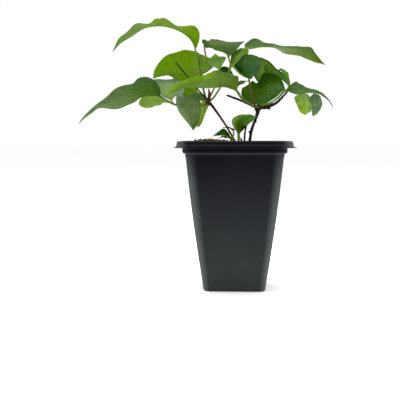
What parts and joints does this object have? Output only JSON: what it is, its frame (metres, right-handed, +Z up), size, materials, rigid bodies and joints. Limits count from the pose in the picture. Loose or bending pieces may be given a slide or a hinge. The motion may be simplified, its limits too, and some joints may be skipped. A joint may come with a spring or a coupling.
{
  "type": "potted clematis plant",
  "caption": "Young climbing plant with pointed, wavy-edged leaves on slender stems, growing from dark soil in a square tapered nursery pot with a turned-down rim.",
  "frame": {"origin": "centre of the pot's underside, on the surface that it stands on", "axes": "+Z up, -Y towards the front, +X to the right seen from the front"},
  "size_m": [0.1858, 0.1005, 0.209],
  "materials": {
    "pot_plastic": "moulded, satin",
    "soil": "moist peat and bark, matte",
    "stem_red": "smooth young bark",
    "stem_bark": "rough dark bark",
    "shoot_green": "satin green shoot",
    "leaf_bright": "thin leaf, satin, light comes through",
    "leaf_mid": "thin leaf, satin",
    "leaf_dark": "thin leaf, satin"
  },
  "bodies": {
    "root": {"pot": "pot_plastic", "soil": "soil", "stem_left": "stem_red", "stem_right": "stem_bark", "stem_thin": "stem_bark", "shoot_spoon": "shoot_green", "shoot_young": "shoot_green", "leaf_upper_left": "leaf_bright", "leaf_centre": "leaf_mid", "leaf_funnel": "leaf_mid", "leaf_lower_left": "leaf_mid", "leaf_young": "leaf_bright", "leaf_hanging": "leaf_bright", "leaf_front": "leaf_mid", "leaf_dark": "leaf_dark", "leaf_right": "leaf_dark"}
  },
  "joints": []
}
